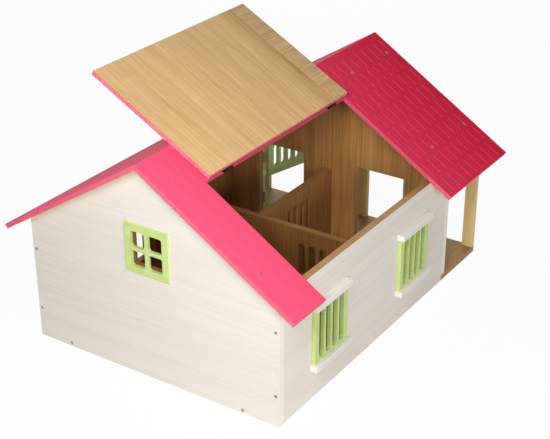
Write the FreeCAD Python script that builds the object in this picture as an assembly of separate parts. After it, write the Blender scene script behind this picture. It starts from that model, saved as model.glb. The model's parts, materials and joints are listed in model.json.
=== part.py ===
import FreeCAD, Part
import math
import os

# Wooden toy horse stable, in millimetres. It faces out of its porch, to -Y, so its left side is +X.
# The origin is on the ground, in the middle of the roof's outline. The roof hatch and the doors are
# drawn as they rest, open.

V = FreeCAD.Vector
UP = V(0, 0, 1)
ACROSS = V(1, 0, 0)
ALONG = V(0, 1, 0)

# Walls and floor
house_width = 345.0
house_depth = 392.0
porch_depth = 88.5
wall_height = 159.0
wall_board = 9.0
floor_board = 8.0

# Roof: ridge_underside is the height of the boards' lower ridge line
ridge_underside = 268.0
front_overhang = 15.5
roof_board = 6.0
rear_overhang = 14.0
eave_overhang = 26.0
wall_top_gap = 0.3

# Partitions and their slots
partition_top = 118.0
partition_board = 9.0
storage_depth = 203.5
partition_slot_width = 8.5
partition_slot_pitch = 14.6
partition_slot_top = 98.5
partition_slot_height = 46.0
partition_slot_count = 4
cross_slot_shift = 3.3

# Porch: three posts under a gable board
post_width = 15.0
porch_board = 6.5
porch_board_drop = 10.0

# Rear window
pane = 19.2
pane_corner = 3.0
mullion = 4.8
rear_window_border = 8.85
rear_window_bottom = 134.3
rear_window_board = 4.0
rear_window_proud = 1.8
rear_window_clearance = 0.1

# Barred windows of the side walls
grille_width = 69.5
grille_height = 69.0
grille_bottom = 46.5
grille_board = 4.75
grille_bottom_rail = 4.2
grille_top_rail = 2.5
grille_slot_width = 10.0
grille_slot_pitch = 14.1
grille_slot_count = 4
window_pitch = 194.0
ledge_length = 75.0
ledge_depth = 9.5
ledge_height = 8.0

# Storage room's opening in the left wall
side_opening_width = 25.0
side_opening_bottom = 20.0
side_opening_top = 105.0
side_opening_setback = 16.0

# Doorways and half doors
doorway_inset = 40.0
doorway_width = 72.5
doorway_top = 130.0
door_board = 6.0
door_hinge_side_gap = 2.0
door_free_side_gap = 1.5
door_floor_gap = 1.0
door_head_gap = 1.0
door_split = 75.0
door_split_gap = 1.5
door_slot_width = 9.5
door_slot_pitch = 13.3
door_slot_count = 4
door_bottom_rail = 11.5
door_top_rail = 10.0
upper_left_degrees = 75.0
lower_left_degrees = 150.0
upper_right_degrees = 100.0
lower_right_degrees = 100.0

# Roof hatch
hatch_rear_strip = 60.0
hatch_opening_length = 290.0
ridge_strip = 54.0
hatch_side_gap = 1.0
hatch_hinge_gap = 1.5
hatch_rest_gap = 0.3
end_strip_width = 28.0
hatch_rear_hinge_inset = 38.0
hatch_front_hinge_inset = 34.0

# Butt hinges, one size for the hatch and the doors
hinge_length = 16.0
hinge_leaf_width = 9.0
hinge_leaf_thickness = 0.7
knuckle_radius = 1.7
knuckle_lift = 0.1
knuckle_count = 5
knuckle_gap = 0.3
hinge_pin_radius = 0.9
hinge_pin_clearance = 0.05
hinge_screw_along_share = 0.22
hinge_screw_across_share = 0.62
hinge_screw_head = 1.5
hinge_screw_shank = 0.8
hinge_screw_head_depth = 0.7
hinge_screw_length = 4.5

# Wood screws of the walls and the roof
screw_head = 2.1
screw_shank = 1.1
screw_head_depth = 1.4
screw_length = 20.0
recess_width_share = 0.3
recess_reach_share = 0.66
recess_depth_share = 0.5
wall_screw_heights = (39.0, 119.0)
floor_screw_place = 124.5
roof_screw_slopes = (30.0, 170.0)

# Softened edges of the small painted pieces, and what a cut runs past its piece
edge_round = 0.8
overrun = 2.0

# Places that follow from the sizes above
half_width = house_width / 2
inner_half = half_width - wall_board
roof_length = rear_overhang + house_depth + porch_depth + front_overhang
roof_rear = roof_length / 2
roof_front = -roof_rear
rear_face = roof_rear - rear_overhang
rear_inner = rear_face - wall_board
front_face = rear_face - house_depth
front_inner = front_face + wall_board
porch_edge = front_face - porch_depth
seat_height = wall_height + wall_top_gap
pitch = math.atan2(ridge_underside - seat_height, half_width)
slope_length = (half_width + eave_overhang) / math.cos(pitch)
mitre = roof_board * math.tan(pitch)
storage_front = rear_inner - storage_depth
stall_rear = storage_front - partition_board
window_middle = rear_face - house_depth / 2
hatch_rear = roof_rear - hatch_rear_strip
hatch_front = hatch_rear - hatch_opening_length
axis_height = knuckle_radius + knuckle_lift
hatch_axis_slope = ridge_strip + hatch_hinge_gap / 2
hatch_rest_sine = (2 * axis_height - hatch_rest_gap) / (hatch_axis_slope + mitre)
hatch_open = 180 + math.degrees(math.asin(hatch_rest_sine))
door_jamb = doorway_inset + doorway_width
door_axis_x = -(door_jamb - door_hinge_side_gap / 2)
door_axis_y = front_face - axis_height
grille_opening_width = (grille_slot_count - 1) * grille_slot_pitch + grille_slot_width
grille_opening_bottom = grille_bottom + grille_bottom_rail
grille_opening_height = grille_height - grille_bottom_rail - grille_top_rail
rear_window_size = 2 * (pane + rear_window_border) + mullion
rear_opening = 2 * pane + mullion
rear_rebate = rear_face - rear_window_board + rear_window_proud


def block(x0, x1, y0, y1, z0, z1):
    """Box between two corners."""
    return Part.makeBox(x1 - x0, y1 - y0, z1 - z0, V(x0, y0, z0))


def soft_block(x0, x1, y0, y1, z0, z1):
    """Box with all its edges rounded over."""
    box = block(x0, x1, y0, y1, z0, z1)
    return box.makeFillet(edge_round, box.Edges)


def prism(outline, y0, y1):
    """Outline of (x, z) points, drawn out from y0 to y1."""
    points = [V(x, y0, z) for x, z in outline]
    face = Part.Face(Part.makePolygon(points + points[:1]))
    return face.extrude(V(0, y1 - y0, 0))


def mirrored(shape):
    """The same piece on the other side of the stable."""
    return shape.mirror(V(0, 0, 0), ACROSS)


def moved(shape, x, y, z):
    copy = shape.copy()
    copy.translate(V(x, y, z))
    return copy


def turned(shape, centre, axis, degrees):
    copy = shape.copy()
    copy.rotate(centre, axis, degrees)
    return copy


def cut_all(shape, tools):
    """The shape less every tool in the list."""
    return shape.cut(tools) if tools else shape


def group(shapes):
    """Separate solids kept in one node."""
    return Part.makeCompound(shapes)


def spread(count, step):
    """Places of a centred row."""
    return [(i - (count - 1) / 2) * step for i in range(count)]


def obround(width, height, depth):
    """Upright round-ended slot about the origin, running through depth along Y."""
    r = width / 2
    z = height / 2 - r
    start = -depth / 2
    lower_right = V(r, start, -z)
    upper_right = V(r, start, z)
    upper_left = V(-r, start, z)
    lower_left = V(-r, start, -z)
    edges = [
        Part.LineSegment(lower_right, upper_right).toShape(),
        Part.Arc(upper_right, V(0, start, z + r), upper_left).toShape(),
        Part.LineSegment(upper_left, lower_left).toShape(),
        Part.Arc(lower_left, V(0, start, -z - r), lower_right).toShape(),
    ]
    return Part.Face(Part.Wire(edges)).extrude(V(0, depth, 0))


def slot_row(count, step, width, height, depth):
    """Centred row of upright slots side by side along X."""
    slot = obround(width, height, depth)
    return [moved(slot, x, 0, 0) for x in spread(count, step)]


def on_slope(shape, side):
    """Lay a piece drawn flat on a roof slope.

    Flat, X runs down the slope from the ridge and Z is height over the boards' underside.
    """
    laid = turned(shape, V(0, 0, 0), ALONG, math.degrees(pitch))
    laid = moved(laid, 0, 0, ridge_underside)
    return laid if side > 0 else mirrored(laid)


def screw_blank(head, shank, head_depth, length):
    """Countersunk screw with a plain head, its top at the origin, pointing down."""
    cone = Part.makeCone(head, shank, head_depth, V(0, 0, 0), -UP)
    rod = Part.makeCylinder(shank, length, V(0, 0, 0), -UP)
    return cone.fuse(rod).removeSplitter()


def cross_recess(head, head_depth):
    """Cross-shaped driver recess for a screw head."""
    half = head * recess_width_share / 2
    reach = head * recess_reach_share
    deep = head_depth * recess_depth_share
    bar = block(-reach, reach, -half, half, -deep, overrun)
    return bar.fuse(turned(bar, V(0, 0, 0), UP, 90))


def wood_screw_blank():
    return screw_blank(screw_head, screw_shank, screw_head_depth, screw_length)


def wood_screw():
    return wood_screw_blank().cut(cross_recess(screw_head, screw_head_depth))


def hinge_screw_blank():
    return screw_blank(hinge_screw_head, hinge_screw_shank, hinge_screw_head_depth, hinge_screw_length)


def hinge_screw():
    return hinge_screw_blank().cut(cross_recess(hinge_screw_head, hinge_screw_head_depth))


def gable_outline(bottom):
    """House outline under the roof, from the height bottom."""
    return [
        (-half_width, bottom),
        (half_width, bottom),
        (half_width, seat_height),
        (0, ridge_underside),
        (-half_width, seat_height),
    ]


def rear_screw_places():
    """(x, z) of the screws that hold the rear gable to the side walls and the floor."""
    wall_x = half_width - wall_board / 2
    places = [(side * wall_x, z) for side in (-1, 1) for z in wall_screw_heights]
    return places + [(side * floor_screw_place, floor_board / 2) for side in (-1, 1)]


def front_screw_places():
    """(x, z) of the screws that hold the front gable to the side walls."""
    wall_x = half_width - wall_board / 2
    return [(side * wall_x, z) for side in (-1, 1) for z in wall_screw_heights]


def rear_gable_screws(screw):
    """Screws driven forward through the rear gable."""
    driven = turned(screw, V(0, 0, 0), ACROSS, -90)
    return [moved(driven, x, rear_face, z) for x, z in rear_screw_places()]


def front_gable_screws(screw):
    """Screws driven back through the front gable."""
    driven = turned(screw, V(0, 0, 0), ACROSS, 90)
    return [moved(driven, x, front_face, z) for x, z in front_screw_places()]


def roof_screws(screw, side):
    """Screws through one roof board into the two gables and the porch board."""
    rows = (rear_face - wall_board / 2, front_face + wall_board / 2, porch_edge + porch_board / 2)
    return [on_slope(moved(screw, s, y, roof_board), side) for s in roof_screw_slopes for y in rows]


def all_wood_screws(screw):
    roof = roof_screws(screw, -1) + roof_screws(screw, 1)
    return rear_gable_screws(screw) + front_gable_screws(screw) + roof


def floor_plate():
    """Floor of the rooms, widened under the front gable and the porch."""
    rooms = block(-inner_half, inner_half, front_inner, rear_inner, 0, floor_board)
    porch = block(-half_width, half_width, porch_edge, front_inner, 0, floor_board)
    return rooms.fuse(porch).removeSplitter()


def rear_gable_wall():
    """Rear gable with the window's opening and the rebate that the window frame sits in."""
    wall = prism(gable_outline(0), rear_inner, rear_face)
    half = rear_opening / 2
    low = rear_window_bottom + rear_window_border
    opening = block(-half, half, rear_inner - overrun, rear_face + overrun, low, low + rear_opening)
    wide = rear_window_size / 2 + rear_window_clearance
    bottom = rear_window_bottom - rear_window_clearance
    rebate = block(-wide, wide, rear_rebate, rear_face + overrun, bottom, bottom + 2 * wide)
    return cut_all(wall, [opening, rebate])


def front_gable_wall():
    """Front gable on the floor plate, with a doorway on each side of the middle."""
    wall = prism(gable_outline(floor_board), front_face, front_inner)
    low = floor_board - overrun
    doorway = block(doorway_inset, door_jamb, front_face - overrun, front_inner + overrun, low, doorway_top)
    return cut_all(wall, [doorway, mirrored(doorway)])


def window_opening(y):
    """Hole in a right side wall behind a grille."""
    half = grille_opening_width / 2
    low = grille_opening_bottom
    high = low + grille_opening_height
    return block(-half_width - overrun, -inner_half + overrun, y - half, y + half, low, high)


def window_places():
    """Y of the rear and the front barred window."""
    return [window_middle + window_pitch / 2, window_middle - window_pitch / 2]


def right_side_wall():
    wall = block(-half_width, -inner_half, front_inner, rear_inner, 0, wall_height)
    return cut_all(wall, [window_opening(y) for y in window_places()])


def left_side_wall():
    """Wall with one barred window in front and the storage room's opening behind it."""
    wall = block(inner_half, half_width, front_inner, rear_inner, 0, wall_height)
    near = storage_front + side_opening_setback
    side_opening = block(inner_half - overrun, half_width + overrun, near, near + side_opening_width,
                         side_opening_bottom, side_opening_top)
    return cut_all(wall, [mirrored(window_opening(window_places()[1])), side_opening])


def partition_slots(x, y):
    """Row of square slots through a cross board centred at x, y."""
    half = partition_slot_width / 2
    deep = partition_board / 2 + overrun
    low = partition_slot_top - partition_slot_height
    return [
        block(x + place - half, x + place + half, y - deep, y + deep, low, partition_slot_top)
        for place in spread(partition_slot_count, partition_slot_pitch)
    ]


def cross_partition():
    """Board between the storage room and the two boxes."""
    board = block(-inner_half, inner_half, stall_rear, storage_front, floor_board, partition_top)
    middle = (stall_rear + storage_front) / 2
    row = (inner_half + partition_board / 2) / 2 + cross_slot_shift
    return cut_all(board, partition_slots(-row, middle) + partition_slots(row, middle))


def stall_partition():
    """Board between the two boxes."""
    half = partition_board / 2
    board = block(-half, half, front_inner, stall_rear, floor_board, partition_top)
    middle = (front_inner + stall_rear) / 2
    slots = [turned(slot, V(0, 0, 0), UP, 90) for slot in partition_slots(0, 0)]
    return cut_all(board, [moved(slot, 0, middle, 0) for slot in slots])


def roof_blank():
    """Flat roof board with its ridge edge mitred."""
    outline = [(0, 0), (slope_length, 0), (slope_length, roof_board), (-mitre, roof_board)]
    return prism(outline, roof_front, roof_rear)


def left_roof_board():
    return on_slope(roof_blank(), 1)


def right_roof_board():
    """Roof board with the hatch's cut-out, open to the eave."""
    eave = slope_length + overrun
    cut_out = block(ridge_strip, eave, hatch_front, hatch_rear, -overrun, roof_board + overrun)
    board = roof_blank().cut(cut_out)
    return on_slope(cut_all(board, hatch_hinge_screws(hinge_screw_blank(), -1)), -1)


def hatch_boards():
    """Main board and end strip of the hatch, flat and closed."""
    top = ridge_strip + hatch_hinge_gap
    front = hatch_front + hatch_side_gap
    joint = front + end_strip_width
    rear = hatch_rear - hatch_side_gap
    holes = hatch_hinge_screws(hinge_screw_blank(), 1)
    main = block(top, slope_length, joint, rear, 0, roof_board)
    strip = block(top, slope_length, front, joint, 0, roof_board)
    return cut_all(main, holes), cut_all(strip, holes)


def opened_hatch(shape):
    """Turn a closed hatch piece over on to the ridge and lay it on the right slope."""
    centre = V(hatch_axis_slope, 0, roof_board + axis_height)
    return on_slope(turned(shape, centre, ALONG, -hatch_open), -1)


def knuckle_spans():
    """Start and end along the hinge of each knuckle, the fixed leaf's first."""
    size = (hinge_length - (knuckle_count - 1) * knuckle_gap) / knuckle_count
    starts = [-hinge_length / 2 + i * (size + knuckle_gap) for i in range(knuckle_count)]
    return [(start, start + size) for start in starts]


def barrel(radius, start, end):
    """Cylinder round the hinge axis from start to end."""
    return Part.makeCylinder(radius, end - start, V(0, start, 0), ALONG)


def hinge_screw_places(side):
    """(x, y) of one leaf's screws. The moving leaf's side is 1 and the fixed leaf's is -1."""
    x = side * hinge_leaf_width * hinge_screw_across_share
    y = hinge_length * hinge_screw_along_share
    return [(x, -y), (x, y)]


def hinge_screws(screw, side):
    """Screws of one leaf, heads flush with it, about the hinge axis."""
    top = hinge_leaf_thickness - axis_height
    return [moved(screw, x, y, top) for x, y in hinge_screw_places(side)]


def hinge_leaf(side):
    """One leaf with its knuckles. The axis is Y and the leaf lies on a board under it."""
    own = knuckle_spans()[0::2] if side < 0 else knuckle_spans()[1::2]
    other = knuckle_spans()[1::2] if side < 0 else knuckle_spans()[0::2]
    edge = side * hinge_leaf_width
    half = hinge_length / 2
    leaf = block(min(0, edge), max(0, edge), -half, half, -axis_height, hinge_leaf_thickness - axis_height)
    room = [barrel(knuckle_radius + knuckle_gap, a - knuckle_gap, b + knuckle_gap) for a, b in other]
    leaf = cut_all(leaf, room).fuse([barrel(knuckle_radius, a, b) for a, b in own])
    bore = barrel(hinge_pin_radius + hinge_pin_clearance, -half - overrun, half + overrun)
    return cut_all(leaf, [bore] + hinge_screws(hinge_screw_blank(), side)).removeSplitter()


def hinge_pin():
    return barrel(hinge_pin_radius, -hinge_length / 2, hinge_length / 2)


def hatch_hinge_places():
    """Y of the two hatch hinges."""
    return [hatch_rear - hatch_rear_hinge_inset, hatch_front + hatch_front_hinge_inset]


def at_hatch_hinges(shape):
    """A hinge piece at both hinges of the flat, closed hatch."""
    lift = roof_board + axis_height
    return [moved(shape, hatch_axis_slope, y, lift) for y in hatch_hinge_places()]


def hatch_hinge_screws(screw, side):
    """Screws of the fixed (-1) or moving (1) hatch leaves, flat and closed."""
    return [placed for piece in hinge_screws(screw, side) for placed in at_hatch_hinges(piece)]


def door_span(level):
    """Bottom and top of an upper or lower door leaf."""
    if level == "upper":
        return door_split, doorway_top - door_head_gap
    return floor_board + door_floor_gap, door_split - door_split_gap


def at_door_hinge(shape, level):
    """A hinge piece stood upright at the right doorway's outer jamb, door closed."""
    bottom, top = door_span(level)
    upright = turned(shape, V(0, 0, 0), ACROSS, 90)
    return moved(upright, door_axis_x, door_axis_y, (bottom + top) / 2)


def swung(shape, side, degrees):
    """A closed piece of a right door, opened by degrees and put on its side."""
    opened = turned(shape, V(door_axis_x, door_axis_y, 0), UP, -degrees)
    return opened if side < 0 else mirrored(opened)


def door_leaf(level):
    """Right half door, closed, flush with the front gable's outer face."""
    bottom, top = door_span(level)
    hinge_edge = door_hinge_side_gap - door_jamb
    free_edge = -doorway_inset - door_free_side_gap
    leaf = soft_block(hinge_edge, free_edge, front_face, front_face + door_board, bottom, top)
    if level == "upper":
        low = bottom + door_bottom_rail
        high = top - door_top_rail
        slots = slot_row(door_slot_count, door_slot_pitch, door_slot_width, high - low,
                         door_board + 2 * overrun)
        place = ((hinge_edge + free_edge) / 2, front_face + door_board / 2, (low + high) / 2)
        leaf = cut_all(leaf, [moved(slot, *place) for slot in slots])
    screws = hinge_screws(hinge_screw_blank(), 1)
    return cut_all(leaf, [at_door_hinge(screw, level) for screw in screws])


def both_sides(shape):
    return [shape, mirrored(shape)]


def porch_board_piece():
    """Gable board under the roof at the porch's edge."""
    return prism(gable_outline(seat_height - porch_board_drop), porch_edge, porch_edge + porch_board)


def porch_post(x):
    half = post_width / 2
    top = seat_height - porch_board_drop
    return block(x - half, x + half, porch_edge, porch_edge + porch_board, floor_board, top)


def pane_hole():
    """Round-cornered hole of one pane, about the origin."""
    half = pane / 2
    hole = block(-half, half, -overrun, rear_window_board + overrun, -half, half)
    corners = [edge for edge in hole.Edges if edge.BoundBox.YLength > rear_window_board]
    return hole.makeFillet(pane_corner, corners)


def rear_window_frame():
    """Frame with four panes, let into the rear gable."""
    half = rear_window_size / 2
    top = rear_window_bottom + rear_window_size
    outer = rear_face + rear_window_proud
    frame = soft_block(-half, half, rear_rebate, outer, rear_window_bottom, top)
    step = pane + mullion
    middle = rear_window_bottom + half
    places = [(x, middle + z) for x in spread(2, step) for z in spread(2, step)]
    return cut_all(frame, [moved(pane_hole(), x, rear_rebate, z) for x, z in places])


def grille(y):
    """Barred window plate on the right wall's outer face."""
    half = grille_width / 2
    top = grille_bottom + grille_height
    plate = soft_block(-half_width - grille_board, -half_width, y - half, y + half, grille_bottom, top)
    slots = slot_row(grille_slot_count, grille_slot_pitch, grille_slot_width, grille_opening_height,
                     grille_board + 2 * overrun)
    across = [turned(slot, V(0, 0, 0), UP, 90) for slot in slots]
    place = (-half_width - grille_board / 2, y, grille_opening_bottom + grille_opening_height / 2)
    return cut_all(plate, [moved(slot, *place) for slot in across])


def ledge(y, bottom):
    """Lintel or sill on the right wall's outer face."""
    half = ledge_length / 2
    outer = -half_width - ledge_depth
    return soft_block(outer, -half_width, y - half, y + half, bottom, bottom + ledge_height)


def house_pieces():
    """Everything that stays put, without its screw holes."""
    rear_y, front_y = window_places()
    lintel = grille_bottom + grille_height
    sill = grille_bottom - ledge_height
    outer_post = half_width - post_width / 2
    return {
        "floor_plate": floor_plate(),
        "rear_gable_wall": rear_gable_wall(),
        "front_gable_wall": front_gable_wall(),
        "left_side_wall": left_side_wall(),
        "right_side_wall": right_side_wall(),
        "cross_partition": cross_partition(),
        "stall_partition": stall_partition(),
        "left_roof_board": left_roof_board(),
        "right_roof_board": right_roof_board(),
        "porch_gable_board": porch_board_piece(),
        "left_porch_post": porch_post(outer_post),
        "middle_porch_post": porch_post(0),
        "right_porch_post": porch_post(-outer_post),
        "rear_window_frame": rear_window_frame(),
        "right_rear_window_grille": grille(rear_y),
        "right_rear_window_lintel": ledge(rear_y, lintel),
        "right_rear_window_sill": ledge(rear_y, sill),
        "right_front_window_grille": grille(front_y),
        "right_front_window_lintel": ledge(front_y, lintel),
        "right_front_window_sill": ledge(front_y, sill),
        "left_front_window_grille": mirrored(grille(front_y)),
        "left_front_window_lintel": mirrored(ledge(front_y, lintel)),
        "left_front_window_sill": mirrored(ledge(front_y, sill)),
    }


def drill_house(pieces):
    """Cut the wood screws' holes, and the door hinges' into the front gable."""
    holes = all_wood_screws(wood_screw_blank())
    drilled = ("floor_plate", "rear_gable_wall", "front_gable_wall", "left_side_wall", "right_side_wall",
               "left_roof_board", "right_roof_board", "porch_gable_board")
    for name in drilled:
        pieces[name] = cut_all(pieces[name], holes)
    hinge_holes = door_frame_screws(hinge_screw_blank())
    pieces["front_gable_wall"] = cut_all(pieces["front_gable_wall"], hinge_holes)


def door_frame_screws(screw):
    """Screws of the door hinges' fixed leaves."""
    return [placed for piece in hinge_screws(screw, -1) for placed in at_all_doors(piece)]


def at_all_doors(shape):
    """A fixed hinge piece at all four half doors."""
    return [piece for level in ("lower", "upper") for piece in both_sides(at_door_hinge(shape, level))]


def fixing_pieces():
    """Screws, and the hinge pieces that stay on the house."""
    screw = wood_screw()
    small = hinge_screw()
    fixed_leaf = hinge_leaf(-1)
    pin = hinge_pin()
    hatch_screws = [on_slope(piece, -1) for piece in hatch_hinge_screws(small, -1)]
    return {
        "rear_gable_screws": group(rear_gable_screws(screw)),
        "front_gable_screws": group(front_gable_screws(screw)),
        "roof_screws": group(roof_screws(screw, -1) + roof_screws(screw, 1)),
        "hatch_hinge_roof_leaves": group([on_slope(piece, -1) for piece in at_hatch_hinges(fixed_leaf)]),
        "hatch_hinge_pins": group([on_slope(piece, -1) for piece in at_hatch_hinges(pin)]),
        "hatch_hinge_roof_screws": group(hatch_screws),
        "door_hinge_frame_leaves": group(at_all_doors(fixed_leaf)),
        "door_hinge_pins": group(at_all_doors(pin)),
        "door_hinge_frame_screws": group(door_frame_screws(small)),
    }


def hatch_pieces():
    """The hatch and what turns with it."""
    main, strip = hatch_boards()
    leaves = at_hatch_hinges(hinge_leaf(1))
    screws = hatch_hinge_screws(hinge_screw(), 1)
    return {
        "roof_hatch": opened_hatch(main),
        "hatch_end_strip": opened_hatch(strip),
        "hatch_hinge_lid_leaves": group([opened_hatch(piece) for piece in leaves]),
        "hatch_hinge_lid_screws": group([opened_hatch(piece) for piece in screws]),
    }


def door_pieces(name, side, level, degrees):
    """One half door and what turns with it."""
    leaf = at_door_hinge(hinge_leaf(1), level)
    screws = [at_door_hinge(screw, level) for screw in hinge_screws(hinge_screw(), 1)]
    return {
        name: swung(door_leaf(level), side, degrees),
        name + "_hinge_leaf": swung(leaf, side, degrees),
        name + "_hinge_screws": group([swung(screw, side, degrees) for screw in screws]),
    }


def all_pieces():
    pieces = house_pieces()
    drill_house(pieces)
    pieces.update(fixing_pieces())
    pieces.update(hatch_pieces())
    pieces.update(door_pieces("left_upper_door", 1, "upper", upper_left_degrees))
    pieces.update(door_pieces("left_lower_door", 1, "lower", lower_left_degrees))
    pieces.update(door_pieces("right_upper_door", -1, "upper", upper_right_degrees))
    pieces.update(door_pieces("right_lower_door", -1, "lower", lower_right_degrees))
    return pieces


os.makedirs("parts", exist_ok=True)
for node, shape in all_pieces().items():
    shape.exportStep("parts/" + node + ".step")
print("hatch turns", round(hatch_open, 2), "degrees between open and closed")
print("hatch axis", on_slope(Part.Vertex(hatch_axis_slope, 0, roof_board + axis_height), -1).Point)
print("door axes at x", round(door_axis_x, 3), "y", round(door_axis_y, 3))
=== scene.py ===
import json
import math
from collections import namedtuple

import bmesh
import bpy
from mathutils import Matrix, Vector


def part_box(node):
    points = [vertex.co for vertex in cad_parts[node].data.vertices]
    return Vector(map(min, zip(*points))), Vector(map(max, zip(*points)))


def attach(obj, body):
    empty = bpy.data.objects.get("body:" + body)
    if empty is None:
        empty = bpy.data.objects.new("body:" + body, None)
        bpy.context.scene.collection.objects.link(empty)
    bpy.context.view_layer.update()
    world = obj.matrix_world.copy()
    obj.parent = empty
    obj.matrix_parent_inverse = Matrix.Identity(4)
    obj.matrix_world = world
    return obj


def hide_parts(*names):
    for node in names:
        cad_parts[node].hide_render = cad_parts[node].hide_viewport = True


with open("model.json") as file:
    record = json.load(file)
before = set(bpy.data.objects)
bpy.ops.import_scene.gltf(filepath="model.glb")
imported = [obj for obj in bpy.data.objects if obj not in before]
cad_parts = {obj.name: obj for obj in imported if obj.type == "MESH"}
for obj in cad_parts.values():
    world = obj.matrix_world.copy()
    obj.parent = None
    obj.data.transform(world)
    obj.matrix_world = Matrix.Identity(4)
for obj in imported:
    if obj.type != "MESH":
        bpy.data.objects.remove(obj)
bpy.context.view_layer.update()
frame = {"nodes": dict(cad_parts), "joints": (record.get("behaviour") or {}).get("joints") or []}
nodes = frame["nodes"]

# Lengths are in metres. The porch faces -Y, so the stable's left is +X and its right is -X.
MM = 0.001
LEFT = 1
RIGHT = -1

# Sizes read from the frame
gable_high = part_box("rear_gable_wall")[1]
wall_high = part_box("right_side_wall")[1]
roof_low, roof_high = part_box("left_roof_board")
hatch_joint = next(joint for joint in frame["joints"] if joint["name"] == "hatch_hinge")
half_width = gable_high[0]
ridge_underside = gable_high[2]
roof_front = roof_low[1]
roof_length = roof_high[1] - roof_front

# Roof boards and the hatch's place in the right one
roof_board = 6.0 * MM
wall_top_gap = 0.3 * MM
ridge_strip = 54.0 * MM
hatch_rear_strip = 60.0 * MM
hatch_length = 290.0 * MM
hatch_side_gap = 1.0 * MM
hatch_hinge_gap = 1.5 * MM
end_strip = 28.0 * MM
hinge_axis_height = 1.8 * MM
hatch_rest_gap = 0.3 * MM

pitch = math.atan2(ridge_underside - wall_high[2] - wall_top_gap, half_width)
slope_length = (roof_high[0] - roof_board * math.sin(pitch)) / math.cos(pitch)
mitre = roof_board * math.tan(pitch)
hatch_axis_slope = ridge_strip + hatch_hinge_gap / 2
hatch_tilt = math.asin((2 * hinge_axis_height - hatch_rest_gap) / (hatch_axis_slope + mitre))

# Pressed shingle lines, on boards that keep just inside the CAD boards
paint_setback = 0.05 * MM
painted_top = roof_board - paint_setback
row_pitch = 28.2 * MM
line_pitch = 15.75 * MM
line_start = 2.65 * MM
line_length = 24.0 * MM
line_width = 1.5 * MM
line_depth = 0.5 * MM
line_taper = 1.2 * MM
line_rim = 0.03 * MM
edge_margin = 2.5 * MM

# Sanded edges
sanded_edge = 0.6 * MM
edge_segments = 2
sharp_angle = math.radians(60)
flat_angle = math.radians(0.5)

# Parts of the normal, and places, that tell a board's faces apart
facing_limit = 0.5
level_limit = 0.3
under_limit = -0.9
corner_depth = 0.2 * MM
glue_reach = 2 * sanded_edge

# Growth rings and the dark band beside the hatch's joint
ring_count = 20.0
ring_draw = 0.1
ring_sharpness = 3.0
ring_share = 0.2
deep_share = 0.72
heart_band = 24.0 * MM
heart_core = heart_band / 4
heart_draw = 0.02
heart_shares = (0.2, 0.75)

# How strongly the painted highlight of the shingle lines shows at the roof's rear and at its front
line_shares = (0.2, 1.0)

# Bump, gloss and scratches
relief_depth = 0.3 * MM
plain_shine = 0.5
scratch_draw = 0.08

# Camera, fitted to the photograph
camera_place = Vector((-0.7955, 1.1870, 0.8342))
camera_azimuth = math.radians(33.578)
camera_elevation = math.radians(27.142)
camera_roll = math.radians(-0.107)
camera_lens = 83.84
sensor_width = 36.0

# Studio
Lamp = namedtuple("Lamp", "name place size watts")
lamps = (
    Lamp("rear", place=(-0.30, 0.72, 0.66), size=0.3, watts=4.2),
    Lamp("side", place=(-1.4, 0.95, 0.52), size=0.6, watts=10.2),
    Lamp("front", place=(0.8, -1.2, 1.0), size=0.9, watts=7.0),
)
lamp_target = Vector((0.0, 0.0, 0.15))
world_light = 0.2
floor_half = 6.0
floor_drop = 0.2 * MM
floor_glow = 0.95


def srgb(r, g, b):
    """Linear colour of an 8-bit display colour."""
    def channel(v):
        v = v / 255
        return v / 12.92 if v <= 0.04045 else ((v + 0.055) / 1.055) ** 2.4
    return (channel(r), channel(g), channel(b), 1.0)


WHITE = srgb(236, 229, 219)
WHITE_GRAIN = srgb(228, 220, 208)
WHITE_EDGE = srgb(246, 240, 226)
LEDGE = srgb(241, 237, 229)
LEDGE_GRAIN = srgb(232, 226, 216)
WOOD_LIGHT = srgb(246, 209, 152)
WOOD_DARK = srgb(219, 175, 116)
STRIP_LIGHT = srgb(238, 202, 145)
STRIP_DARK = srgb(198, 156, 106)
HEARTWOOD = srgb(168, 116, 66)
INNER_LIGHT = srgb(208, 159, 95)
INNER_DARK = srgb(168, 118, 61)
REVEAL_LIGHT = srgb(170, 124, 84)
# Partition wood: the walls' bare wood darkened as painted shade, more on the cross partition than on the
# stall partition
REVEAL_DARK = srgb(134, 92, 58)
CROSS_LIGHT = srgb(168, 119, 64)
CROSS_DARK = srgb(130, 84, 39)
STALL_LIGHT = srgb(195, 142, 82)
STALL_DARK = srgb(150, 101, 53)
BOARD_EDGE = srgb(186, 142, 93)
# Pale wood of the posts, made paler still as painted light
POST_LIGHT = srgb(250, 222, 166)
POST_DARK = srgb(234, 196, 134)
FLOOR_LIGHT = srgb(186, 144, 86)
FLOOR_DARK = srgb(150, 110, 62)
PINK = srgb(232, 35, 71)
PINK_DEEP = srgb(224, 30, 64)
# Painted light and sheen: the paler pink that the roof paint takes towards the rear
PINK_PAINTED_LIGHT = srgb(253, 89, 126)
# Painted highlight of the pressed shingle lines
PINK_LINE_HIGHLIGHT = srgb(250, 122, 150)
PINK_EDGE = srgb(230, 114, 128)
HATCH_EDGE = srgb(238, 150, 158)
GREEN = srgb(205, 224, 142)
GREEN_DEEP = srgb(195, 216, 128)
STEEL = srgb(52, 38, 36)
STEEL_WORN = srgb(92, 72, 66)
ZINC = srgb(188, 182, 174)
ZINC_DULL = srgb(146, 140, 130)
ZINC_STAINED = srgb(150, 92, 98)
NICKEL = srgb(206, 198, 178)
NICKEL_DULL = srgb(160, 150, 128)
STUDIO_FLOOR = srgb(236, 236, 236)
BACKDROP = (0.97, 0.97, 0.97, 1.0)
PURE_WHITE = (1.0, 1.0, 1.0, 1.0)

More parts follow.
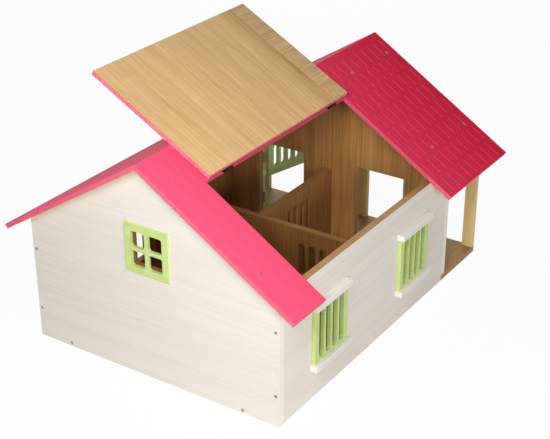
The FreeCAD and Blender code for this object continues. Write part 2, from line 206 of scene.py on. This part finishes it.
# How a board's grain shows. fine, broad and pores are noise scales per metre across the grain, and draw
# is how far the noise is drawn out along it. streak_share is the streaks' part of the tone, of which the
# bands have the rest. A span gives the noise at which a look starts and the noise at which it is full.
Grain = namedtuple("Grain", (
    "fine", "broad", "pores", "draw", "streak_share", "tone_span", "pore_span", "pore_share", "pore_depth",
    "rough_span",
))
BARE = Grain(
    fine=420.0, broad=55.0, pores=1344.0, draw=0.025, streak_share=0.68, tone_span=(0.34, 0.66),
    pore_span=(0.6, 0.7), pore_share=0.5, pore_depth=0.5, rough_span=(-0.6, 1.4),
)
WASHED = Grain(
    fine=300.0, broad=40.0, pores=960.0, draw=0.018, streak_share=0.6, tone_span=(0.34, 0.56),
    pore_span=(0.64, 0.74), pore_share=0.4, pore_depth=0.6, rough_span=(-0.9, 1.2),
)

# Sockets of a surface's looks
Surface = namedtuple("Surface", "colour rough height")

# Opening of a roof board in the board's own coordinates: from upper down to the eave, from rear to front
CutOut = namedtuple("CutOut", "upper rear front")


class Tree:
    """Node tree of a material or a world, with short ways to add nodes."""

    def __init__(self, owner):
        owner.use_nodes = True
        self.tree = owner.node_tree
        self.tree.nodes.clear()

    def node(self, kind, inputs=None, **settings):
        """Add a node. Its settings come first, since they decide which inputs it has."""
        made = self.tree.nodes.new("ShaderNode" + kind)
        for key, value in settings.items():
            setattr(made, key, value)
        for key, value in (inputs or {}).items():
            self.put(made.inputs[key], value)
        return made

    def put(self, socket, value):
        """Link a socket to another, or set its value."""
        if isinstance(value, bpy.types.NodeSocket):
            self.tree.links.new(value, socket)
        else:
            socket.default_value = value

    def maths(self, operation, a, b=0.0):
        return self.node("Math", {0: a, 1: b}, operation=operation).outputs[0]

    def times(self, a, b):
        return self.maths("MULTIPLY", a, b)

    def larger(self, a, b):
        return self.maths("MAXIMUM", a, b)

    def above(self, value, limit):
        """1 where value is over limit, and 0 elsewhere."""
        return self.maths("GREATER_THAN", value, limit)

    def below(self, value, limit):
        """1 where value is under limit, and 0 elsewhere."""
        return self.maths("LESS_THAN", value, limit)

    def seen_directly(self):
        """1 for camera, glossy and transmission rays, and 0 for the others."""
        path = self.node("LightPath").outputs
        seen = self.larger(path["Is Camera Ray"], path["Is Glossy Ray"])
        return self.larger(seen, path["Is Transmission Ray"])


class Shader(Tree):
    """Node tree of a new material, with the object's own coordinates."""

    def __init__(self, name):
        self.material = bpy.data.materials.new(name)
        super().__init__(self.material)
        coords = self.node("TexCoord").outputs
        self.place = coords["Object"]
        self.normal = coords["Normal"]

    def axes(self, vector):
        """X, Y and Z of a vector."""
        return self.node("SeparateXYZ", {0: vector}).outputs

    def drawn_out(self, axis, draw):
        """The object's coordinates, drawn out along one axis."""
        scale = [1.0, 1.0, 1.0]
        scale["XYZ".index(axis)] = draw
        return self.node("Mapping", {"Vector": self.place, "Scale": scale}).outputs[0]

    def noise(self, vector, scale, detail, rough):
        """Noise about 0.5, at a scale per metre."""
        inputs = {"Vector": vector, "Scale": scale, "Detail": detail, "Roughness": rough}
        return self.node("TexNoise", inputs).outputs["Fac"]

    def ramp(self, value, low, high):
        """0 to 1 as value goes from low to high."""
        inputs = {"Value": value, "From Min": low, "From Max": high}
        return self.node("MapRange", inputs).outputs["Result"]

    def mix(self, factor, a, b, kind="RGBA"):
        """a where factor is 0, and b where it is 1."""
        return self.node("Mix", {"Factor": factor, "A": a, "B": b}, data_type=kind).outputs["Result"]

    def mix_value(self, factor, a, b):
        return self.mix(factor, a, b, "FLOAT")

    def mix_surface(self, factor, a, b):
        return Surface(
            self.mix(factor, a.colour, b.colour),
            self.mix_value(factor, a.rough, b.rough),
            self.mix_value(factor, a.height, b.height),
        )

    def finish(self, surface, bump, shine=plain_shine, metal=0.0):
        """The material with this surface, whose height shows as bump."""
        relief = self.node("Bump", {"Height": surface.height, "Strength": bump, "Distance": relief_depth})
        shader = self.node("BsdfPrincipled", {
            "Base Color": surface.colour, "Roughness": surface.rough, "Metallic": metal,
            "Normal": relief.outputs[0], "Specular IOR Level": shine,
        })
        self.node("OutputMaterial", {"Surface": shader.outputs[0]})
        return self.material


def grained(shader, axis, grain, light, dark, pore_colour):
    """Surface of a board whose grain runs along an axis."""
    drawn = shader.drawn_out(axis, grain.draw)
    streaks = shader.noise(drawn, grain.fine, detail=4.0, rough=0.6)
    bands = shader.noise(drawn, grain.broad, detail=2.0, rough=0.5)
    pores = shader.noise(drawn, grain.pores, detail=2.0, rough=0.7)
    streak_part = shader.times(streaks, grain.streak_share)
    band_part = shader.times(bands, 1 - grain.streak_share)
    tone = shader.ramp(shader.maths("ADD", streak_part, band_part), *grain.tone_span)
    pore = shader.ramp(pores, *grain.pore_span)
    colour = shader.mix(tone, dark, light)
    colour = shader.mix(shader.times(pore, grain.pore_share), colour, pore_colour)
    rough = shader.ramp(streaks, *grain.rough_span)
    height = shader.maths("SUBTRACT", streaks, shader.times(pore, grain.pore_depth))
    return Surface(colour, rough, height)


def bare_wood(shader, axis, light, dark):
    """Surface of a bare planed board, with growth rings in long pointed loops along the grain."""
    deep = tuple(part * deep_share for part in dark[:3]) + (1.0,)
    board = grained(shader, axis, BARE, light, dark, deep)
    field = shader.noise(shader.drawn_out(axis, ring_draw), scale=15.0, detail=1.0, rough=0.4)
    across = shader.maths("FRACT", shader.times(field, ring_count))
    ring = shader.maths("POWER", across, ring_sharpness)
    return board._replace(colour=shader.mix(shader.times(ring, ring_share), board.colour, deep))


def white_wash(shader, axis, paint=WHITE, tint=WHITE_GRAIN):
    """Surface of thin white paint that lets the grain show."""
    return grained(shader, axis, WASHED, paint, tint, tint)


def paint_film(shader, base, deep, cloud_scale):
    """Surface of satin paint on smooth board."""
    cloud = shader.noise(shader.place, cloud_scale, detail=3.0, rough=0.5)
    peel = shader.noise(shader.place, scale=1400.0, detail=2.0, rough=0.5)
    colour = shader.mix(shader.ramp(cloud, low=0.3, high=0.7), deep, base)
    return Surface(colour, shader.ramp(peel, low=-1.1, high=1.9), peel)


def wood_material(name, axis, light, dark):
    """Bare wood all over."""
    shader = Shader(name)
    return shader.finish(bare_wood(shader, axis, light, dark), bump=0.2, shine=0.25)


def partition_material(name, light, dark):
    """Bare boards whose planed upper edges differ from their faces."""
    shader = Shader(name)
    upward = shader.above(shader.axes(shader.normal)[2], facing_limit)
    face = bare_wood(shader, "Z", light, dark)
    edge = bare_wood(shader, "X", BOARD_EDGE, INNER_DARK)
    return shader.finish(shader.mix_surface(upward, face, edge), bump=0.2, shine=0.25)


def wall_material(name, outward, outer_grain, edge_paint=None, light=INNER_LIGHT, dark=INNER_DARK):
    """Wall that is painted on its outer face and on the house's corners, and bare elsewhere.

    outward is the outer face's direction, such as "+Y". edge_paint is the colour of the board's ends at
    the corners, where it differs.
    """
    shader = Shader(name)
    sign, axis = outward
    along_axis = shader.axes(shader.normal)["XYZ".index(axis)]
    facing = shader.times(along_axis, 1.0 if sign == "+" else -1.0)
    outside = shader.above(facing, facing_limit)
    from_middle = shader.maths("ABSOLUTE", shader.axes(shader.place)[0])
    corner = shader.above(from_middle, half_width - corner_depth)
    paint = white_wash(shader, outer_grain)
    if edge_paint:
        paint = paint._replace(colour=shader.mix(corner, paint.colour, edge_paint))
    bare = bare_wood(shader, "Z", light, dark)
    painted = shader.larger(outside, corner)
    return shader.finish(shader.mix_surface(painted, bare, paint), bump=0.15, shine=0.3)


def ledge_material():
    """White paint of the lintels and sills."""
    shader = Shader("white ledges")
    return shader.finish(white_wash(shader, "Y", LEDGE, LEDGE_GRAIN), bump=0.22)


def green_material():
    """Lime paint of the doors, the grilles and the rear window."""
    shader = Shader("lime green paint")
    return shader.finish(paint_film(shader, GREEN, GREEN_DEEP, cloud_scale=90.0), bump=0.08)


def roof_paint(shader, place, normal, over, rear_end, edge):
    """Surface of pink paint, made paler towards the rear as painted light and sheen, with a painted
    highlight in the pressed lines that is weaker towards the rear, and thin on the edges.

    over is 1 in the board's upper half.
    """
    paint = paint_film(shader, PINK, PINK_DEEP, cloud_scale=45.0)
    forward = shader.ramp(place[1], rear_end, roof_length - rear_end)
    sunk = shader.ramp(place[2], painted_top - line_rim, painted_top - line_depth)
    level = shader.above(normal[2], level_limit)
    pressed = shader.times(sunk, shader.times(over, level))
    # Painted light: the lines' painted highlight is weaker towards the rear
    pressed = shader.times(pressed, shader.mix_value(forward, *line_shares))
    upright = shader.below(shader.maths("ABSOLUTE", normal[2]), level_limit)
    wear = shader.noise(shader.place, scale=320.0, detail=3.0, rough=0.55)
    worn = shader.times(upright, shader.ramp(wear, low=0.2, high=0.6))
    # Painted light and sheen: the paint turns paler towards the rear
    colour = shader.mix(forward, PINK_PAINTED_LIGHT, paint.colour)
    # Painted highlight in the pressed lines
    colour = shader.mix(pressed, colour, PINK_LINE_HIGHLIGHT)
    return paint._replace(colour=shader.mix(worn, colour, edge))


def heart_band_wood(shader, bare, from_joint):
    """Bare wood with a darker band of close growth lines along a joint."""
    field = shader.noise(shader.drawn_out("X", heart_draw), scale=520.0, detail=2.0, rough=0.5)
    lines = shader.ramp(field, low=0.35, high=0.65)
    band = shader.ramp(from_joint, heart_band, heart_core)
    share = shader.times(band, shader.mix_value(lines, *heart_shares))
    return bare._replace(colour=shader.mix(share, bare.colour, HEARTWOOD))


def roof_material(name, bare_axis, rear_end, light=WOOD_LIGHT, dark=WOOD_DARK, edge=PINK_EDGE, joint=None):
    """Roof board that is painted on its top and edges, with a bare underside.

    The coordinates are the board's own: X down the slope, Y along the ridge, Z through the board.
    rear_end is the own Y of the roof's rear end. joint is the own Y of a glued joint, whose lower half
    shows no paint, and beside which wood with its grain down the slope has a dark band.
    """
    shader = Shader(name)
    place = shader.axes(shader.place)
    normal = shader.axes(shader.normal)
    over = shader.above(place[2], roof_board / 2)
    under = shader.below(normal[2], under_limit)
    paint = roof_paint(shader, place, normal, over, rear_end, edge)
    bare = bare_wood(shader, bare_axis, light, dark)
    if joint is not None:
        from_joint = shader.maths("ABSOLUTE", shader.maths("SUBTRACT", place[1], joint))
        glued = shader.below(from_joint, glue_reach)
        lower = shader.maths("SUBTRACT", 1.0, over)
        under = shader.larger(under, shader.times(glued, lower))
        if bare_axis == "X":
            bare = heart_band_wood(shader, bare, from_joint)
    return shader.finish(shader.mix_surface(under, paint, bare), bump=0.12, shine=0.06)


def metal_material(name, base, worn, smooth, coarse):
    """Metal with worn patches and fine scratches.

    smooth and coarse are the scratch noise that would be mirror-smooth and fully rough.
    """
    shader = Shader(name)
    patches = shader.noise(shader.place, scale=700.0, detail=3.0, rough=0.6)
    scratches = shader.noise(shader.drawn_out("Y", scratch_draw), scale=2600.0, detail=2.0, rough=0.6)
    colour = shader.mix(shader.ramp(patches, low=0.45, high=0.75), base, worn)
    rough = shader.ramp(scratches, smooth, coarse)
    return shader.finish(Surface(colour, rough, scratches), bump=0.1, metal=1.0)


def link(item):
    """Put an object in the scene."""
    bpy.context.scene.collection.objects.link(item)
    return item


def soften(piece):
    """Break a board's sharp edges, as sanding does."""
    flat = piece.modifiers.new("flat faces", "DECIMATE")
    flat.decimate_type = "DISSOLVE"
    flat.angle_limit = flat_angle
    edge = piece.modifiers.new("sanded edges", "BEVEL")
    edge.width = sanded_edge
    edge.segments = edge_segments
    edge.limit_method = "ANGLE"
    edge.angle_limit = sharp_angle
    edge.use_clamp_overlap = False


def slope_frame(side):
    """Matrix from a roof board's own coordinates to the stable's.

    Own X runs down the slope from the ridge, own Y along the ridge from the front (left board) or
    from the rear (right board), own Z from the board's underside to its top.
    """
    down = Vector((side * math.cos(pitch), 0, -math.sin(pitch)))
    along = Vector((0, side, 0))
    up = Vector((side * math.sin(pitch), 0, math.cos(pitch)))
    turn = Matrix((down, along, up)).transposed().to_4x4()
    return Matrix.Translation((0, side * roof_front, ridge_underside)) @ turn


def hatch_frame():
    """The right slope's frame, turned with the hatch from closed to open."""
    axis = Vector(hatch_joint["pos_m"])
    turn = Matrix.Rotation(math.pi + hatch_tilt, 4, -Vector(hatch_joint["axis"]))
    return Matrix.Translation(axis) @ turn @ Matrix.Translation(-axis) @ slope_frame(RIGHT)


def row_tops():
    """Own X of the rows' upper edges, counted up from the eave."""
    count = int(slope_length / row_pitch)
    return [slope_length - (row + 1) * row_pitch for row in range(count)]


def line_places(side):
    """Own Y of every shingle line, with the parity of the rows that have it."""
    places = []
    step = line_pitch / 2
    for index in range(int(roof_length / step) + 1):
        from_front = line_start + index * step
        places.append((from_front if side == LEFT else roof_length - from_front, index % 2))
    return places


def shingle_grid(side, slope_span, ridge_span, cut_out):
    """Grid lines across and along a shingled board, as sorted (place, parity) pairs.

    Where two lines with the same parity cross, the board is pressed. Lines with no parity stay level.
    """
    across = {place: None for place in slope_span}
    for row, top in enumerate(row_tops()):
        end = top + line_length
        if top - edge_margin > slope_span[0] and end + edge_margin < slope_span[1]:
            across.update({top: None, top + line_taper: row % 2, end - line_taper: row % 2, end: None})
    along = {place: None for place in ridge_span}
    cut_ends = (cut_out.rear, cut_out.front) if cut_out else ()
    for place, parity in line_places(side):
        near_cut = any(abs(place - end) < edge_margin for end in cut_ends)
        if ridge_span[0] + edge_margin < place < ridge_span[1] - edge_margin and not near_cut:
            along.update({place - line_width / 2: None, place: parity, place + line_width / 2: None})
    if cut_out:
        across[cut_out.upper] = None
        along.update({end: None for end in cut_ends})
    return sorted(across.items()), sorted(along.items())


def board_cells(rows, columns, cut_out):
    """(row, column) of every grid cell that is outside the opening."""
    def middle(lines, index):
        return (lines[index][0] + lines[index + 1][0]) / 2

    cells = set()
    for i in range(len(rows) - 1):
        for j in range(len(columns) - 1):
            below_strip = cut_out and middle(rows, i) > cut_out.upper
            if not (below_strip and cut_out.rear < middle(columns, j) < cut_out.front):
                cells.add((i, j))
    return cells


def board_mesh(name, side, slope_span, ridge_span, cut_out=None):
    """Closed roof board with pressed lines.

    Where the top reaches over the ridge, to an own X under 0, the underside still starts at 0: that is
    the mitre in which the two slopes meet.
    """
    rows, columns = shingle_grid(side, slope_span, ridge_span, cut_out)
    cells = board_cells(rows, columns, cut_out)
    bm = bmesh.new()
    top, bottom = {}, {}
    for i, (x, row_parity) in enumerate(rows):
        for j, (y, column_parity) in enumerate(columns):
            pressed = row_parity is not None and row_parity == column_parity
            top[i, j] = bm.verts.new((x, y, painted_top - (line_depth if pressed else 0)))
            bottom[i, j] = bm.verts.new((max(x, 0), y, paint_setback))
    for i, j in cells:
        ring = [(i, j), (i + 1, j), (i + 1, j + 1), (i, j + 1)]
        bm.faces.new([top[corner] for corner in ring])
        bm.faces.new([bottom[corner] for corner in reversed(ring)])
        neighbours = [(i, j - 1), (i + 1, j), (i, j + 1), (i - 1, j)]
        for a, b, neighbour in zip(ring, ring[1:] + ring[:1], neighbours):
            if neighbour not in cells:
                bm.faces.new([top[b], top[a], bottom[a], bottom[b]])
    bmesh.ops.delete(bm, geom=[vert for vert in bm.verts if not vert.link_faces], context="VERTS")
    bmesh.ops.recalc_face_normals(bm, faces=bm.faces)
    mesh = bpy.data.meshes.new(name)
    bm.to_mesh(mesh)
    bm.free()
    return mesh


def add_piece(name, mesh, matrix, material, body, node):
    """Put a piece in the scene in place of a CAD node."""
    piece = link(bpy.data.objects.new(name, mesh))
    mesh.materials.append(material)
    piece.matrix_world = matrix
    bpy.context.view_layer.update()
    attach(piece, body)
    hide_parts(node)
    soften(piece)


def add_slopes(cut_out, eave):
    """Shingled roof boards of both slopes."""
    slope = (-mitre, eave)
    ends = (paint_setback, roof_length - paint_setback)
    left_paint = roof_material("pink paint of the left slope", "X", rear_end=roof_length)
    right_paint = roof_material("pink paint of the right slope", "X", rear_end=0.0)
    left = board_mesh("shingled_left_roof", LEFT, slope, ends)
    right = board_mesh("shingled_right_roof", RIGHT, slope, ends, cut_out)
    add_piece("shingled_left_roof", left, slope_frame(LEFT), left_paint, "house", "left_roof_board")
    add_piece("shingled_right_roof", right, slope_frame(RIGHT), right_paint, "house", "right_roof_board")


def add_hatch(cut_out, eave):
    """Shingled boards of the hatch: the main one, and the cross-grained strip at its porch end."""
    slope = (cut_out.upper + hatch_hinge_gap, eave)
    rear = cut_out.rear + hatch_side_gap
    front = cut_out.front - hatch_side_gap
    joint = front - end_strip
    main_paint = roof_material("pink hatch paint", "X", rear_end=0.0, edge=HATCH_EDGE, joint=joint)
    strip_paint = roof_material("pink hatch paint over cross grain", "Y", rear_end=0.0,
                                light=STRIP_LIGHT, dark=STRIP_DARK, edge=HATCH_EDGE, joint=joint)
    main = board_mesh("shingled_hatch", RIGHT, slope, (rear, joint))
    strip = board_mesh("shingled_hatch_end", RIGHT, slope, (joint, front))
    add_piece("shingled_hatch", main, hatch_frame(), main_paint, "hatch", "roof_hatch")
    add_piece("shingled_hatch_end", strip, hatch_frame(), strip_paint, "hatch", "hatch_end_strip")


def add_roof():
    """All the shingled boards."""
    cut_out = CutOut(ridge_strip, hatch_rear_strip, hatch_rear_strip + hatch_length)
    eave = slope_length - paint_setback
    add_slopes(cut_out, eave)
    add_hatch(cut_out, eave)


def ending(*ends):
    """Names of the nodes that end in one of these words."""
    return [name for name in nodes if name.endswith(ends)]


def put_material(names, material):
    """Give CAD nodes a material."""
    for name in names:
        for slot in nodes[name].material_slots:
            slot.material = material


def dress_boards():
    """Materials of the wooden CAD nodes that stay."""
    put_material(["rear_gable_wall"],
                 wall_material("rear gable boards", "+Y", "X", WHITE_EDGE, REVEAL_LIGHT, REVEAL_DARK))
    put_material(["front_gable_wall", "porch_gable_board"],
                 wall_material("front gable boards", "-Y", "X", WHITE_EDGE))
    put_material(["right_side_wall"], wall_material("right wall boards", "-X", "Y"))
    put_material(["left_side_wall"], wall_material("left wall boards", "+X", "Y"))
    # The partitions' colours carry painted shade
    put_material(["cross_partition"], partition_material("cross partition boards", CROSS_LIGHT, CROSS_DARK))
    put_material(["stall_partition"], partition_material("stall partition boards", STALL_LIGHT, STALL_DARK))
    put_material(["floor_plate"], wood_material("floor board", "Y", FLOOR_LIGHT, FLOOR_DARK))
    # The posts' colours carry painted light
    put_material(ending("_porch_post"), wood_material("porch posts", "Z", POST_LIGHT, POST_DARK))
    put_material(ending("_lintel", "_sill"), ledge_material())
    put_material(ending("_grille", "_window_frame", "_door"), green_material())


def dress_metal():
    """Materials of the screws and hinges."""
    screws = [name for name in ending("_screws") if name != "roof_screws"]
    put_material(screws, metal_material("zinc screws", ZINC, ZINC_DULL, smooth=-0.2, coarse=1.0))
    put_material(["roof_screws"],
                 metal_material("dull roof screws", ZINC_DULL, ZINC_STAINED, smooth=0.1, coarse=1.0))
    hinges = ending("_leaf", "_leaves", "_pins")
    on_hatch = [name for name in hinges if name.startswith("hatch")]
    on_doors = [name for name in hinges if name not in on_hatch]
    put_material(on_hatch,
                 metal_material("burnished hinge steel", STEEL, STEEL_WORN, smooth=-0.1, coarse=1.0))
    put_material(on_doors,
                 metal_material("nickel hinge plating", NICKEL, NICKEL_DULL, smooth=-0.2, coarse=0.9))


def soften_boards():
    """Sanded edges on every wooden node."""
    metal = ending("_screws", "_leaf", "_leaves", "_pins")
    for name in nodes:
        if name not in metal:
            soften(nodes[name])


def add_camera():
    """Camera at the photograph's place and angle."""
    forward = Vector((
        math.cos(camera_elevation) * math.sin(camera_azimuth),
        -math.cos(camera_elevation) * math.cos(camera_azimuth),
        -math.sin(camera_elevation),
    ))
    right = forward.cross(Vector((0, 0, 1))).normalized()
    up = right.cross(forward)
    turn = Matrix((right, up, -forward)).transposed().to_4x4()
    data = bpy.data.cameras.new("camera")
    data.sensor_fit = "HORIZONTAL"
    data.sensor_width = sensor_width
    data.lens = camera_lens
    camera = link(bpy.data.objects.new("camera", data))
    camera.matrix_world = Matrix.Translation(camera_place) @ turn @ Matrix.Rotation(camera_roll, 4, "Z")
    bpy.context.scene.camera = camera


def add_floor():
    """Pale floor that stays white to the eye but keeps the object's shadow."""
    half = floor_half
    mesh = bpy.data.meshes.new("floor")
    corners = [(-half, -half, 0), (half, -half, 0), (half, half, 0), (-half, half, 0)]
    mesh.from_pydata(corners, [], [(0, 1, 2, 3)])
    floor = link(bpy.data.objects.new("floor", mesh))
    floor.location.z = -floor_drop
    shader = Shader("studio floor")
    diffuse = shader.node("BsdfDiffuse", {"Color": STUDIO_FLOOR})
    glow = shader.node("Emission", {"Color": PURE_WHITE, "Strength": 1.0})
    share = shader.times(shader.seen_directly(), floor_glow)
    both = shader.node("MixShader", {0: share, 1: diffuse.outputs[0], 2: glow.outputs[0]})
    shader.node("OutputMaterial", {"Surface": both.outputs[0]})
    mesh.materials.append(shader.material)


def add_world():
    """Weak even light, with a pale backdrop for the rays that see it directly."""
    world = bpy.data.worlds.new("studio")
    tree = Tree(world)
    light = tree.node("Background", {"Color": PURE_WHITE, "Strength": world_light})
    seen = tree.node("Background", {"Color": BACKDROP, "Strength": 1.0})
    both = tree.node("MixShader", {0: tree.seen_directly(), 1: light.outputs[0], 2: seen.outputs[0]})
    tree.node("OutputWorld", {"Surface": both.outputs[0]})
    bpy.context.scene.world = world


def add_lamps():
    """Square soft boxes that face the stable."""
    for lamp in lamps:
        data = bpy.data.lights.new(lamp.name, "AREA")
        data.size = lamp.size
        data.energy = lamp.watts
        aim = (lamp_target - Vector(lamp.place)).to_track_quat("-Z", "Y")
        box = link(bpy.data.objects.new(lamp.name, data))
        box.matrix_world = Matrix.Translation(lamp.place) @ aim.to_matrix().to_4x4()


add_roof()
dress_boards()
dress_metal()
soften_boards()
add_camera()
add_floor()
add_world()
add_lamps()
bpy.context.scene.view_settings.view_transform = "Standard"
